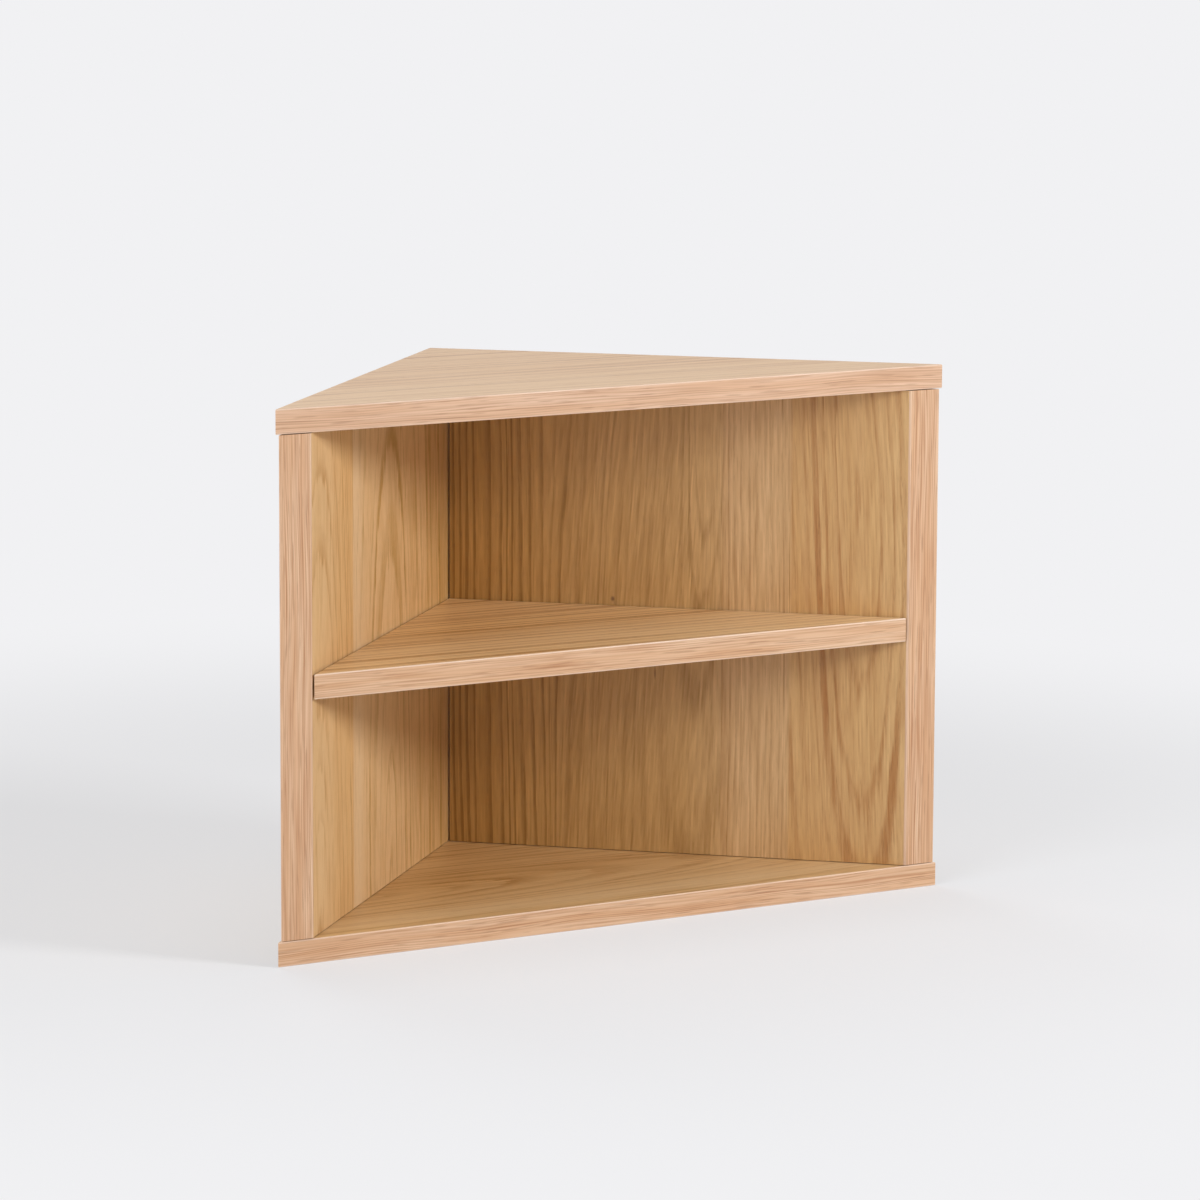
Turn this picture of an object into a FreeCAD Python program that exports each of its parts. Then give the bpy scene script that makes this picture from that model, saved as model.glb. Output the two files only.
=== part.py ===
import FreeCAD, Part
import math
import os
from FreeCAD import Matrix, Vector

# Corner wall shelf, in millimetres.
# The origin is the wall corner at the underside. The right wall is the plane y = 0, with its run
# along +X. The left wall is the plane x = 0, with its run along -Y. +Z is up.
# The open front is the diagonal plane on which x - y equals the leg.

# Whole shelf
LEG = 400.0
HEIGHT = 400.0

# Boards: a core between two veneers, with a solid band along the front
BOARD = 18.0
VENEER = 0.6
BAND = 1.0
BAND_ROUND = 0.8
BAND_ROUND_LIMIT_SHARE = 0.9

# Places of the boards
WALL_SETBACK = 1.8
CORNER_GAP = 1.2
JOINT_GAP = 0.5
SHELF_GAP = 1.4

# Cam discs, in bores that open towards the wall
CAM_RADIUS = 7.5
CAM_SINK = 0.3
CAM_SKIRT = 0.9
CAM_FIT = 0.1
CAM_PLAY = 0.2
CAM_TURN_DEGREES = 180.0
CAM_DISTANCE = 24.0
BORE_PLAY = 1.6
CAVITY_OFFSET = 0.8
RECESS_REACH = 4.5
RECESS_WIDTH = 1.6
RECESS_DEPTH = 2.5
POINTER_REACH = 1.8
POINTER_WIDTH = 1.0
POINTER_DEPTH = 0.6

# Cam bolts, screwed into the top and bottom
BALL_RADIUS = 3.4
BALL_OFFSET = 0.3
NECK_RADIUS = 2.0
NECK_MARGIN = 2.0
SHANK_RADIUS = 3.0
COLLAR_RADIUS = 3.7
COLLAR_LENGTH = 2.0
THREAD_RADIUS = 2.9
THREAD_LENGTH = 11.0
THREAD_FIT = 0.1
THREAD_PLAY = 1.0
BOLT_HOLE_PLAY = 0.3

# Dowels, each a pitch further from the board's middle than its cam
DOWEL_RADIUS = 4.0
DOWEL_LENGTH = 30.0
DOWEL_IN_FLAT_BOARD = 11.0
DOWEL_CHAMFER = 1.0
DOWEL_FIT = 0.05
DOWEL_PLAY = 1.0
DOWEL_BACK_RUN = 38.0
DOWEL_FRONT_INSET = 68.0
FITTING_PITCH = 32.0

# Pegs that carry the middle shelf
PEG_RADIUS = 2.5
PEG_IN_SIDE = 9.0
PEG_REACH = 8.0
PEG_ROUND = 0.8
PEG_FIT = 0.05
PEG_PLAY = 0.5
PEG_SEAT_GAP = 0.2
PEG_BACK_RUN = 75.0
PEG_FRONT_INSET = 110.0

# Hanger plates with a keyhole each, over pockets in the sides' outer faces
PLATE_HEIGHT = 46.0
PLATE_WIDTH = 20.0
PLATE_THICKNESS = 1.5
PLATE_CORNER = 3.0
PLATE_DROP = 70.0
PLATE_BACK_RUN = 110.0
PLATE_FRONT_INSET = 130.0
ENTRY_RADIUS = 5.0
SLOT_RADIUS = 2.6
KEYHOLE_RISE = 10.0
POCKET_MARGIN = 0.8
POCKET_DEPTH = 6.0

# Countersunk screws of the hanger plates
SCREW_INSET = 5.0
SCREW_LENGTH = 14.0
SCREW_HEAD_RADIUS = 3.2
SCREW_RADIUS = 1.6
SCREW_TIP = 3.0
SCREW_FIT = 0.05
DRIVE_REACH = 1.7
DRIVE_WIDTH = 0.7
DRIVE_DEPTH = 1.0

# One overrun serves all cuts
OVERRUN = 1.0

# Worked out from the sizes above
UP = Vector(0, 0, 1)
ROOT_TWO = math.sqrt(2)
BAND_BACK = LEG - BAND * ROOT_TWO
SIDE_LOW = BOARD + JOINT_GAP
SIDE_HIGH = HEIGHT - BOARD - JOINT_GAP
SIDE_INNER = WALL_SETBACK + BOARD
SIDE_MIDDLE = WALL_SETBACK + BOARD / 2
SHELF_LOW = HEIGHT / 2 - BOARD / 2
CAVITY_RADIUS = BALL_OFFSET + BALL_RADIUS + CAM_PLAY + CAVITY_OFFSET
NECK_END = CAM_RADIUS + NECK_MARGIN
DOWEL_FRONT_RUN = LEG - DOWEL_FRONT_INSET
CAM_BACK_RUN = DOWEL_BACK_RUN + FITTING_PITCH
CAM_FRONT_RUN = DOWEL_FRONT_RUN - FITTING_PITCH
PEG_FRONT_RUN = LEG - PEG_FRONT_INSET
PLATE_FRONT_RUN = LEG - PLATE_FRONT_INSET
PLATE_MIDDLE = HEIGHT - PLATE_DROP
SCREW_REACH = PLATE_HEIGHT / 2 - SCREW_INSET


class Wall:
    """One wall of the corner. A place on it is a run along it, a distance out from it and a height."""

    def __init__(self, name, along, inward, back_run):
        self.name = name
        self.along = along
        self.inward = inward
        self.outward = inward * -1
        self.back_run = back_run

    def at(self, run, out, height):
        return self.along * run + self.inward * out + UP * height


# The left side board runs through to the right wall, and the right one butts against it
WALLS = [
    Wall("left", Vector(0, -1, 0), Vector(1, 0, 0), WALL_SETBACK),
    Wall("right", Vector(1, 0, 0), Vector(0, -1, 0), SIDE_INNER + CORNER_GAP),
]


def save(node, solids):
    """Write one node, which is a single solid or a group of like solids."""
    shape = solids[0] if len(solids) == 1 else Part.makeCompound(solids)
    shape.exportStep(os.path.join("parts", node + ".step"))
    volume = sum(solid.Volume for solid in solids)
    print(f"{node}: {len(solids)} solid(s), {volume:.1f} mm3")


def prism(corners, low, high):
    """Upright solid on a plan polygon, from one height to another."""
    lift = UP * low
    outline = Part.makePolygon([corner + lift for corner in corners + corners[:1]])
    return Part.Face(outline).extrude(UP * (high - low))


def place(shape, centre, x_axis, z_axis):
    """Copy of a shape modelled at the origin, turned to two axes and moved to a centre."""
    y_axis = z_axis.cross(x_axis)
    matrix = Matrix()
    matrix.A11, matrix.A12, matrix.A13, matrix.A14 = x_axis.x, y_axis.x, z_axis.x, centre.x
    matrix.A21, matrix.A22, matrix.A23, matrix.A24 = x_axis.y, y_axis.y, z_axis.y, centre.y
    matrix.A31, matrix.A32, matrix.A33, matrix.A34 = x_axis.z, y_axis.z, z_axis.z, centre.z
    return shape.transformed(matrix, True)


def cross_recess(reach, width, depth, face):
    """Cutter for a screwdriver's cross in a face that looks along +Z."""
    base = face - depth
    height = depth + OVERRUN
    bar = Part.makeBox(2 * reach, width, height, Vector(-reach, -width / 2, base))
    other = Part.makeBox(width, 2 * reach, height, Vector(-width / 2, -reach, base))
    return bar.fuse(other)


# Fittings, each modelled at the origin


def cam_disc():
    """Cam at its locked turn: axis along +Z to the wall, bolt along +X, open end inwards."""
    face = BOARD / 2 - CAM_SINK
    floor = -BALL_RADIUS - CAM_SKIRT
    roof = BALL_RADIUS + CAM_PLAY
    disc = Part.makeCylinder(CAM_RADIUS, face - floor, UP * floor)

    # The cavity is off centre, so that turning the cam draws the bolt's ball inwards
    low = floor - OVERRUN
    cavity = Part.makeCylinder(CAVITY_RADIUS, roof - low, Vector(-CAVITY_OFFSET, 0, low))

    # The wall is slotted for the bolt's neck all the way round to the entry for its ball
    half_slot = NECK_RADIUS + CAM_PLAY
    lead = math.degrees(math.asin(half_slot / (CAVITY_RADIUS - CAVITY_OFFSET)))
    reach = CAM_RADIUS + OVERRUN
    sweep = CAM_TURN_DEGREES + lead
    slot = Part.makeCylinder(reach, 2 * half_slot, UP * -half_slot, UP, sweep)
    slot.rotate(Vector(), UP, -lead)
    entry_radius = BALL_RADIUS + CAM_PLAY
    entry = Part.makeCylinder(entry_radius, reach, Vector(), Vector(1, 0, 0))
    mouth = Part.makeBox(reach, 2 * entry_radius, -low, Vector(0, -entry_radius, low))
    entry = entry.fuse(mouth)
    entry.rotate(Vector(), UP, CAM_TURN_DEGREES)

    # A cross for the screwdriver, and a notch that points at the bolt
    recess = cross_recess(RECESS_REACH, RECESS_WIDTH, RECESS_DEPTH, face)
    pointer = Part.makeBox(
        POINTER_REACH + OVERRUN,
        POINTER_WIDTH,
        POINTER_DEPTH + OVERRUN,
        Vector(CAM_RADIUS - POINTER_REACH, -POINTER_WIDTH / 2, face - POINTER_DEPTH),
    )
    return disc.cut([cavity, slot, entry, recess, pointer]).Solids[0]


def cam_bolt():
    """Bolt along +X from the cam's centre, turned: ball, neck, shank, collar and thread."""
    seat = CAM_DISTANCE + JOINT_GAP
    collar = seat - COLLAR_LENGTH
    end = seat + THREAD_LENGTH
    back = Vector(BALL_OFFSET - BALL_RADIUS, 0, 0)
    crest = Vector(BALL_OFFSET, BALL_RADIUS, 0)
    nape = Vector(BALL_OFFSET + math.sqrt(BALL_RADIUS ** 2 - NECK_RADIUS ** 2), NECK_RADIUS, 0)
    steps = [
        nape,
        Vector(NECK_END, NECK_RADIUS, 0),
        Vector(NECK_END, SHANK_RADIUS, 0),
        Vector(collar, SHANK_RADIUS, 0),
        Vector(collar, COLLAR_RADIUS, 0),
        Vector(seat, COLLAR_RADIUS, 0),
        Vector(seat, THREAD_RADIUS, 0),
        Vector(end, THREAD_RADIUS, 0),
        Vector(end, 0, 0),
        back,
    ]
    ball = Part.Arc(back, crest, nape).toShape()
    profile = Part.Wire([ball] + Part.makePolygon(steps).Edges)
    return Part.Face(profile).revolve(Vector(), Vector(1, 0, 0))


def dowel():
    """Dowel along +X, with the joint's plane at the origin and its longer end behind."""
    start = DOWEL_IN_FLAT_BOARD - DOWEL_LENGTH
    ahead = Vector(1, 0, 0)
    rod = Part.makeCylinder(DOWEL_RADIUS, DOWEL_LENGTH, ahead * start, ahead)
    ends = [edge for edge in rod.Edges if isinstance(edge.Curve, Part.Circle)]
    return rod.makeChamfer(DOWEL_CHAMFER, ends).Solids[0]


def peg():
    """Peg along +Z, with the side's inner face at the origin and its free end rounded."""
    rod = Part.makeCylinder(PEG_RADIUS, PEG_IN_SIDE + PEG_REACH, UP * -PEG_IN_SIDE)
    tips = [edge for edge in rod.Edges if edge.BoundBox.ZMin > 0]
    return rod.makeFillet(PEG_ROUND, tips).Solids[0]


def keyhole_shape(entry_radius, slot_radius, low, high):
    """Round entry below a narrower slot, along +X, as a cutter from one height to another."""
    depth = high - low
    bottom = -KEYHOLE_RISE / 2
    entry = Part.makeCylinder(entry_radius, depth, Vector(bottom, 0, low))
    tip = Part.makeCylinder(slot_radius, depth, Vector(-bottom, 0, low))
    slot = Part.makeBox(KEYHOLE_RISE, 2 * slot_radius, depth, Vector(bottom, -slot_radius, low))
    return entry.fuse([tip, slot]).removeSplitter()


def hanger_plate():
    """Plate with its height along +X, from the board's face at z = 0 towards the wall."""
    corner = Vector(-PLATE_HEIGHT / 2, -PLATE_WIDTH / 2, 0)
    plate = Part.makeBox(PLATE_HEIGHT, PLATE_WIDTH, PLATE_THICKNESS, corner)
    upright = [edge for edge in plate.Edges if edge.BoundBox.ZLength > PLATE_THICKNESS / 2]
    plate = plate.makeFillet(PLATE_CORNER, upright)
    keyhole = keyhole_shape(ENTRY_RADIUS, SLOT_RADIUS, -OVERRUN, PLATE_THICKNESS + OVERRUN)
    cutters = [keyhole] + [plate_screw_at(end, SCREW_FIT) for end in (-1, 1)]
    return plate.cut(cutters).Solids[0]


def pocket():
    """Cutter for the room that a wall screw's head needs behind the keyhole."""
    radius = ENTRY_RADIUS + POCKET_MARGIN
    return keyhole_shape(radius, radius, -POCKET_DEPTH, OVERRUN)


def plate_screw_at(end, spare):
    """Countersunk screw at one end of the plate, flush with its face, or its hole where spare is given."""
    head = SCREW_HEAD_RADIUS + spare
    radius = SCREW_RADIUS + spare
    centre = Vector(end * SCREW_REACH, 0, 0)
    top = PLATE_THICKNESS
    neck = top - (SCREW_HEAD_RADIUS - SCREW_RADIUS)
    tip = top - SCREW_LENGTH
    shank_end = tip + SCREW_TIP
    cone = Part.makeCone(radius, head, top - neck, centre + UP * neck)
    shank = Part.makeCylinder(radius, neck - shank_end, centre + UP * shank_end)
    point = Part.makeCone(0, radius, SCREW_TIP, centre + UP * tip)
    return cone.fuse([shank, point]).removeSplitter().Solids[0]


def plate_screw(end):
    """Screw at one end of the plate, with its cross."""
    drive = cross_recess(DRIVE_REACH, DRIVE_WIDTH, DRIVE_DEPTH, PLATE_THICKNESS)
    drive.translate(Vector(end * SCREW_REACH, 0, 0))
    return plate_screw_at(end, 0).cut(drive).Solids[0]


# Boards


def round_front(band, is_front_edge):
    """Ease the edges of a front band that the test picks."""
    radius = min(BAND_ROUND, BAND * BAND_ROUND_LIMIT_SHARE)
    edges = [edge for edge in band.Edges if is_front_edge(edge)]
    return band.makeFillet(radius, edges).Solids[0]


def on_front(point):
    """True where a point lies on the diagonal front plane."""
    return point.x - point.y > (LEG + BAND_BACK) / 2


def save_flat_board(name, inset, low, cutters):
    """Core, veneers and band of a triangular board that stops an inset short of both walls."""
    high = low + BOARD
    plan = [
        Vector(inset, -inset, 0),
        Vector(inset, inset - BAND_BACK, 0),
        Vector(BAND_BACK - inset, -inset, 0),
    ]
    layers = {
        "core": prism(plan, low + VENEER, high - VENEER),
        "upper_veneer": prism(plan, high - VENEER, high),
        "lower_veneer": prism(plan, low, low + VENEER),
    }
    for layer, solid in layers.items():
        drilled = solid.cut(cutters) if cutters else solid
        save(f"{name}_{layer}", [drilled.Solids[0]])

    strip = [
        Vector(inset, inset - BAND_BACK, 0),
        Vector(inset, inset - LEG, 0),
        Vector(LEG - inset, -inset, 0),
        Vector(BAND_BACK - inset, -inset, 0),
    ]
    band = prism(strip, low, high)

    def long_front_edge(edge):
        level = edge.BoundBox.ZLength < BOARD / 2
        return level and all(on_front(vertex.Point) for vertex in edge.Vertexes)

    save(f"{name}_front_band", [round_front(band, long_front_edge)])


def save_side_board(wall, cutters):
    """Core, veneers and band of a side board, its front end cut along the diagonal."""
    depths = {
        "outer_veneer": (WALL_SETBACK, WALL_SETBACK + VENEER),
        "core": (WALL_SETBACK + VENEER, SIDE_INNER - VENEER),
        "inner_veneer": (SIDE_INNER - VENEER, SIDE_INNER),
    }
    for layer, (near, far) in depths.items():
        plan = [
            wall.at(wall.back_run, near, 0),
            wall.at(BAND_BACK - near, near, 0),
            wall.at(BAND_BACK - far, far, 0),
            wall.at(wall.back_run, far, 0),
        ]
        drilled = prism(plan, SIDE_LOW, SIDE_HIGH).cut(cutters)
        save(f"{wall.name}_side_{layer}", [drilled.Solids[0]])

    strip = [
        wall.at(BAND_BACK - WALL_SETBACK, WALL_SETBACK, 0),
        wall.at(LEG - WALL_SETBACK, WALL_SETBACK, 0),
        wall.at(LEG - SIDE_INNER, SIDE_INNER, 0),
        wall.at(BAND_BACK - SIDE_INNER, SIDE_INNER, 0),
    ]
    band = prism(strip, SIDE_LOW, SIDE_HIGH)

    def inner_front_edge(edge):
        middle = edge.CenterOfMass
        inside = middle.dot(wall.inward) > SIDE_MIDDLE
        return edge.BoundBox.ZLength > BOARD and inside and on_front(middle)

    save(f"{wall.name}_side_front_band", [round_front(band, inner_front_edge)])


# Places of the fittings, with the holes that they need in each board

CAM = cam_disc()
BOLT = cam_bolt()
DOWEL = dowel()
PEG = peg()
PLATE = hanger_plate()
POCKET = pocket()

bolts = []
dowels = []
pegs = []
screws = []
holes = {"left": [], "right": [], "top": [], "bottom": []}


def add_cam(wall, flat_board, up, joint, end, run):
    """Cam in a side board, and the bolt that reaches it from the top or bottom."""
    mouth = wall.at(run, SIDE_MIDDLE, joint)
    centre = mouth - up * CAM_DISTANCE
    save(f"cam_{wall.name}_{flat_board}_{end}", [place(CAM, centre, up, wall.outward)])
    bolts.append(place(BOLT, centre, up, wall.outward))

    below_axis = BALL_RADIUS + BORE_PLAY
    floor = centre + wall.inward * below_axis
    depth = below_axis + BOARD / 2 + OVERRUN
    holes[wall.name].append(Part.makeCylinder(CAM_RADIUS + CAM_FIT, depth, floor, wall.outward))
    bolt_hole = COLLAR_RADIUS + BOLT_HOLE_PLAY
    holes[wall.name].append(Part.makeCylinder(bolt_hole, CAM_DISTANCE + OVERRUN, centre, up))
    thread_depth = JOINT_GAP + THREAD_LENGTH + THREAD_PLAY
    holes[flat_board].append(Part.makeCylinder(THREAD_RADIUS + THREAD_FIT, thread_depth, mouth, up))


def add_dowel(wall, flat_board, up, joint, run):
    """Dowel across the joint of a side board with the top or bottom."""
    mouth = wall.at(run, SIDE_MIDDLE, joint)
    dowels.append(place(DOWEL, mouth, up, wall.outward))
    depth = DOWEL_LENGTH + 2 * DOWEL_PLAY
    start = mouth + up * (DOWEL_IN_FLAT_BOARD + DOWEL_PLAY - depth)
    hole = Part.makeCylinder(DOWEL_RADIUS + DOWEL_FIT, depth, start, up)
    holes[wall.name].append(hole)
    holes[flat_board].append(hole)


def add_peg(wall, run):
    """Peg in a side board's inner face, just under the shelf."""
    root = wall.at(run, SIDE_INNER, SHELF_LOW - PEG_SEAT_GAP - PEG_RADIUS)
    pegs.append(place(PEG, root, UP, wall.inward))
    depth = PEG_IN_SIDE + PEG_PLAY + OVERRUN
    mouth = root + wall.inward * OVERRUN
    holes[wall.name].append(Part.makeCylinder(PEG_RADIUS + PEG_FIT, depth, mouth, wall.outward))


def add_plate(wall, end, run):
    """Hanger plate on a side board's outer face, over its pocket, with its two screws."""
    centre = wall.at(run, WALL_SETBACK, PLATE_MIDDLE)
    save(f"hanger_plate_{wall.name}_{end}", [place(PLATE, centre, UP, wall.outward)])
    holes[wall.name].append(place(POCKET, centre, UP, wall.outward))
    for plate_end in (-1, 1):
        screws.append(place(plate_screw(plate_end), centre, UP, wall.outward))
        hole = plate_screw_at(plate_end, SCREW_FIT)
        holes[wall.name].append(place(hole, centre, UP, wall.outward))


# Build

os.makedirs("parts", exist_ok=True)

for wall in WALLS:
    for flat_board, up, joint in (("top", UP, SIDE_HIGH), ("bottom", UP * -1, SIDE_LOW)):
        add_cam(wall, flat_board, up, joint, "back", CAM_BACK_RUN)
        add_cam(wall, flat_board, up, joint, "front", CAM_FRONT_RUN)
        add_dowel(wall, flat_board, up, joint, DOWEL_BACK_RUN)
        add_dowel(wall, flat_board, up, joint, DOWEL_FRONT_RUN)
    add_peg(wall, PEG_BACK_RUN)
    add_peg(wall, PEG_FRONT_RUN)
    add_plate(wall, "back", PLATE_BACK_RUN)
    add_plate(wall, "front", PLATE_FRONT_RUN)
    save_side_board(wall, holes[wall.name])

save_flat_board("top_board", 0, HEIGHT - BOARD, holes["top"])
save_flat_board("bottom_board", 0, 0, holes["bottom"])
save_flat_board("shelf", SIDE_INNER + SHELF_GAP, SHELF_LOW, [])
save("cam_bolts", bolts)
save("dowels", dowels)
save("shelf_pegs", pegs)
save("hanger_screws", screws)
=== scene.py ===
"""Looks of a corner wall shelf: oak veneer, oak edge bands, board cores and metal fittings."""
import logging
import math
from abc import ABC, abstractmethod
from dataclasses import dataclass
from enum import Enum

import bmesh
import bpy
from mathutils import Matrix, Vector


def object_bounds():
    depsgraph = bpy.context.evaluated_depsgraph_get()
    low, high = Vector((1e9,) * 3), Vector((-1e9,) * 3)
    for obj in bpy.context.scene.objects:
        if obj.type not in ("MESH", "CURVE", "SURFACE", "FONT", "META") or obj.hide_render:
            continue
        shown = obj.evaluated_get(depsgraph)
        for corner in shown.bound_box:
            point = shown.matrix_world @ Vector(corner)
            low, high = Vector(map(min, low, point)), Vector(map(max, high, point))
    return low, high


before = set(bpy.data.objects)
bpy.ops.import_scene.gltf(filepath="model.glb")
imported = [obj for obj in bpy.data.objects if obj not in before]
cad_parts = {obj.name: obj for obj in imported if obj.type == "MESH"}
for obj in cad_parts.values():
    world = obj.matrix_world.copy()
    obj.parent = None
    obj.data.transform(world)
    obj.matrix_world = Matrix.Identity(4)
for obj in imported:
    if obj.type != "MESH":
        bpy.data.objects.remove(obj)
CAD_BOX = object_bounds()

LOG = logging.getLogger("corner_shelf")

Colour = tuple[float, float, float]
Direction = tuple[float, float, float]

# Finishes are written in millimetres, and Blender's lengths are metres
PER_METRE = 1000.0
MM = 1.0 / PER_METRE
DIAGONAL = math.sqrt(0.5)
FRONT_ANGLE = 45.0
AXES = ((1.0, 0.0, 0.0), (0.0, 1.0, 0.0), (0.0, 0.0, 1.0))

# The whole shelf along a wall and upwards, a board's thickness and a side board's gap to the wall
LEG = CAD_BOX[1].x * PER_METRE
HEIGHT = CAD_BOX[1].z * PER_METRE
BOARD = 18.0
WALL_GAP = 1.8

# The faces of a side board where the front cuts them, along the front from its middle
SIDE_INNER = (LEG - 2 * (WALL_GAP + BOARD)) * DIAGONAL
SIDE_OUTER = (LEG - 2 * WALL_GAP) * DIAGONAL

# Blender's noise stays near its middle and is stretched to run from about minus one to one
NOISE_STRETCH = 4.0

# The sockets of a Mix node that mixes colours
MIX_SHARE = 0
MIX_FIRST = 6
MIX_SECOND = 7
MIX_RESULT = 2


class Wire:
    """An output socket that takes part in Python expressions as a number."""

    def __init__(self, graph: "Graph", socket: bpy.types.NodeSocket) -> None:
        """Keeps the graph that owns the socket, and the socket."""
        self.graph = graph
        self.socket = socket

    def __add__(self, other: "Term") -> "Wire":
        """Sum."""
        return self.graph.math("ADD", self, other)

    __radd__ = __add__

    def __sub__(self, other: "Term") -> "Wire":
        """Difference."""
        return self.graph.math("SUBTRACT", self, other)

    def __rsub__(self, other: "Term") -> "Wire":
        """Difference with the wire as the second term."""
        return self.graph.math("SUBTRACT", other, self)

    def __mul__(self, other: "Term") -> "Wire":
        """Product."""
        return self.graph.math("MULTIPLY", self, other)

    __rmul__ = __mul__

    def __truediv__(self, other: "Term") -> "Wire":
        """Quotient."""
        return self.graph.math("DIVIDE", self, other)

    def __rtruediv__(self, other: "Term") -> "Wire":
        """Quotient with the wire as the divisor."""
        return self.graph.math("DIVIDE", other, self)

    def root(self) -> "Wire":
        """Square root."""
        return self.graph.math("SQRT", self)

    def fraction(self) -> "Wire":
        """What is left over a whole number."""
        return self.graph.math("FRACT", self)

    def whole(self) -> "Wire":
        """The whole number below."""
        return self.graph.math("FLOOR", self)

    def above(self, limit: float) -> "Wire":
        """One where the value is above the limit, and zero elsewhere."""
        return self.graph.math("GREATER_THAN", self, limit)

    def at_most(self, other: "Term") -> "Wire":
        """The smaller of two values."""
        return self.graph.math("MINIMUM", self, other)

    def at_least(self, other: "Term") -> "Wire":
        """The larger of two values."""
        return self.graph.math("MAXIMUM", self, other)

    def ease(self, start: float, end: float) -> "Wire":
        """Changes smoothly from zero to one between two values.

        Args:
            start: the value at which the result leaves zero.
            end: the value at which it reaches one, above or below the start.

        Returns:
            The eased value.
        """
        ends = {"From Min": start, "From Max": end}
        if start > end:
            ends = {"From Min": end, "From Max": start, "To Min": 1.0, "To Max": 0.0}
        settings = {"interpolation_type": "SMOOTHSTEP"}
        return self.graph.node("ShaderNodeMapRange", settings, {"Value": self, **ends})


Term = Wire | float


class Graph:
    """The shader nodes of one material, added by expressions."""

    def __init__(self, tree: bpy.types.NodeTree) -> None:
        """Empties the tree."""
        self.tree = tree
        tree.nodes.clear()

    def node(self, kind: str, settings: dict, inputs: dict, output: int | str = 0) -> Wire:
        """Adds a node.

        Args:
            kind: the node's type.
            settings: what is set on the node itself, first; "stops" holds a colour ramp's stops.
            inputs: a value or a wire for each socket, by name or number.
            output: the socket that is returned, by name or number.

        Returns:
            The wire of that output.
        """
        made = self.tree.nodes.new(kind)
        for name, value in settings.items():
            if name == "stops":
                self._set_stops(made.color_ramp, value)
            else:
                setattr(made, name, value)
        for name, value in inputs.items():
            socket = made.inputs[name]
            if isinstance(value, Wire):
                self.tree.links.new(value.socket, socket)
            elif isinstance(value, tuple) and socket.type == "RGBA":
                socket.default_value = (*value, 1.0)
            else:
                socket.default_value = value
        return Wire(self, made.outputs[output] if len(made.outputs) else None)

    @staticmethod
    def _set_stops(ramp: bpy.types.ColorRamp, stops: list[tuple[float, tuple[float, ...]]]) -> None:
        """Gives a colour ramp its stops.

        Args:
            ramp: the colour ramp.
            stops: a position and four channels for each stop.
        """
        while len(ramp.elements) < len(stops):
            ramp.elements.new(1.0)
        for element, (position, channels) in zip(ramp.elements, stops):
            element.position = position
            element.color = channels

    def math(self, operation: str, *terms: Term) -> Wire:
        """Adds a Math node on the terms."""
        return self.node("ShaderNodeMath", {"operation": operation}, dict(enumerate(terms)))

    def along(self, direction: Direction) -> Wire:
        """Measures along a direction from the wall corner.

        Args:
            direction: a unit vector in the part's frame.

        Returns:
            How far a point lies along it, in millimetres.
        """
        place = self.node("ShaderNodeTexCoord", {}, {}, "Object")
        scaled = tuple(PER_METRE * part for part in direction)
        settings = {"operation": "DOT_PRODUCT"}
        return self.node("ShaderNodeVectorMath", settings, {0: place, 1: scaled}, "Value")

    def axes(self) -> list[Wire]:
        """How far a point lies along each axis of the frame, in millimetres."""
        return [self.along(axis) for axis in AXES]

    def point(self, x: Term, y: Term, z: Term) -> Wire:
        """Joins three values into a vector."""
        return self.node("ShaderNodeCombineXYZ", {}, {"X": x, "Y": y, "Z": z})

    def noise(self, point: Wire, detail: float = 1.0, roughness: float = 0.5) -> Wire:
        """Adds smooth noise with cells one unit wide.

        Args:
            point: where the noise is read.
            detail: how many finer layers it has.
            roughness: how strong the finer layers are.

        Returns:
            The noise, from about minus one to one.
        """
        inputs = {"Vector": point, "Scale": 1.0, "Detail": detail, "Roughness": roughness}
        made = self.node("ShaderNodeTexNoise", {"noise_dimensions": "3D"}, inputs, "Fac")
        return made * NOISE_STRETCH - NOISE_STRETCH / 2

    def cells(self, size: Direction) -> Wire:
        """A point of the piece, counted in cells of some millimetres along each axis."""
        return self.point(*(place / width for place, width in zip(self.axes(), size)))

    def chance(self, value: Term) -> Wire:
        """A random number from zero to one for each whole number."""
        return self.node("ShaderNodeTexWhiteNoise", {"noise_dimensions": "1D"}, {"W": value}, "Value")

    def mix(self, first: "Wire | Colour", second: "Wire | Colour", share: Term) -> Wire:
        """Mixes two colours.

        Args:
            first: the colour at a share of zero.
            second: the colour at a share of one.
            share: how much of the second there is.

        Returns:
            The mixed colour.
        """
        settings = {"data_type": "RGBA", "clamp_factor": True}
        inputs = {MIX_SHARE: share, MIX_FIRST: first, MIX_SECOND: second}
        return self.node("ShaderNodeMix", settings, inputs, MIX_RESULT)

    def bump(self, height: Wire, distance: float, strength: float) -> Wire:
        """Tilts the normal by a height field whose full height is a distance in metres."""
        inputs = {"Height": height, "Distance": distance, "Strength": strength}
        return self.node("ShaderNodeBump", {}, inputs)

    def surface(self, shader: Wire) -> None:
        """Makes a shader the material's surface."""
        self.node("ShaderNodeOutputMaterial", {}, {"Surface": shader})


@dataclass(frozen=True)
class Range:
    """Two values, between which something varies."""

    start: float
    end: float

    def at(self, share: Wire) -> Wire:
        """The value at a share of the way from the start to the end."""
        return share * (self.end - self.start) + self.start

    def rise(self, value: Wire) -> Wire:
        """Zero at the start, one at the end and smooth between them."""
        return value.ease(self.start, self.end)


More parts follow.
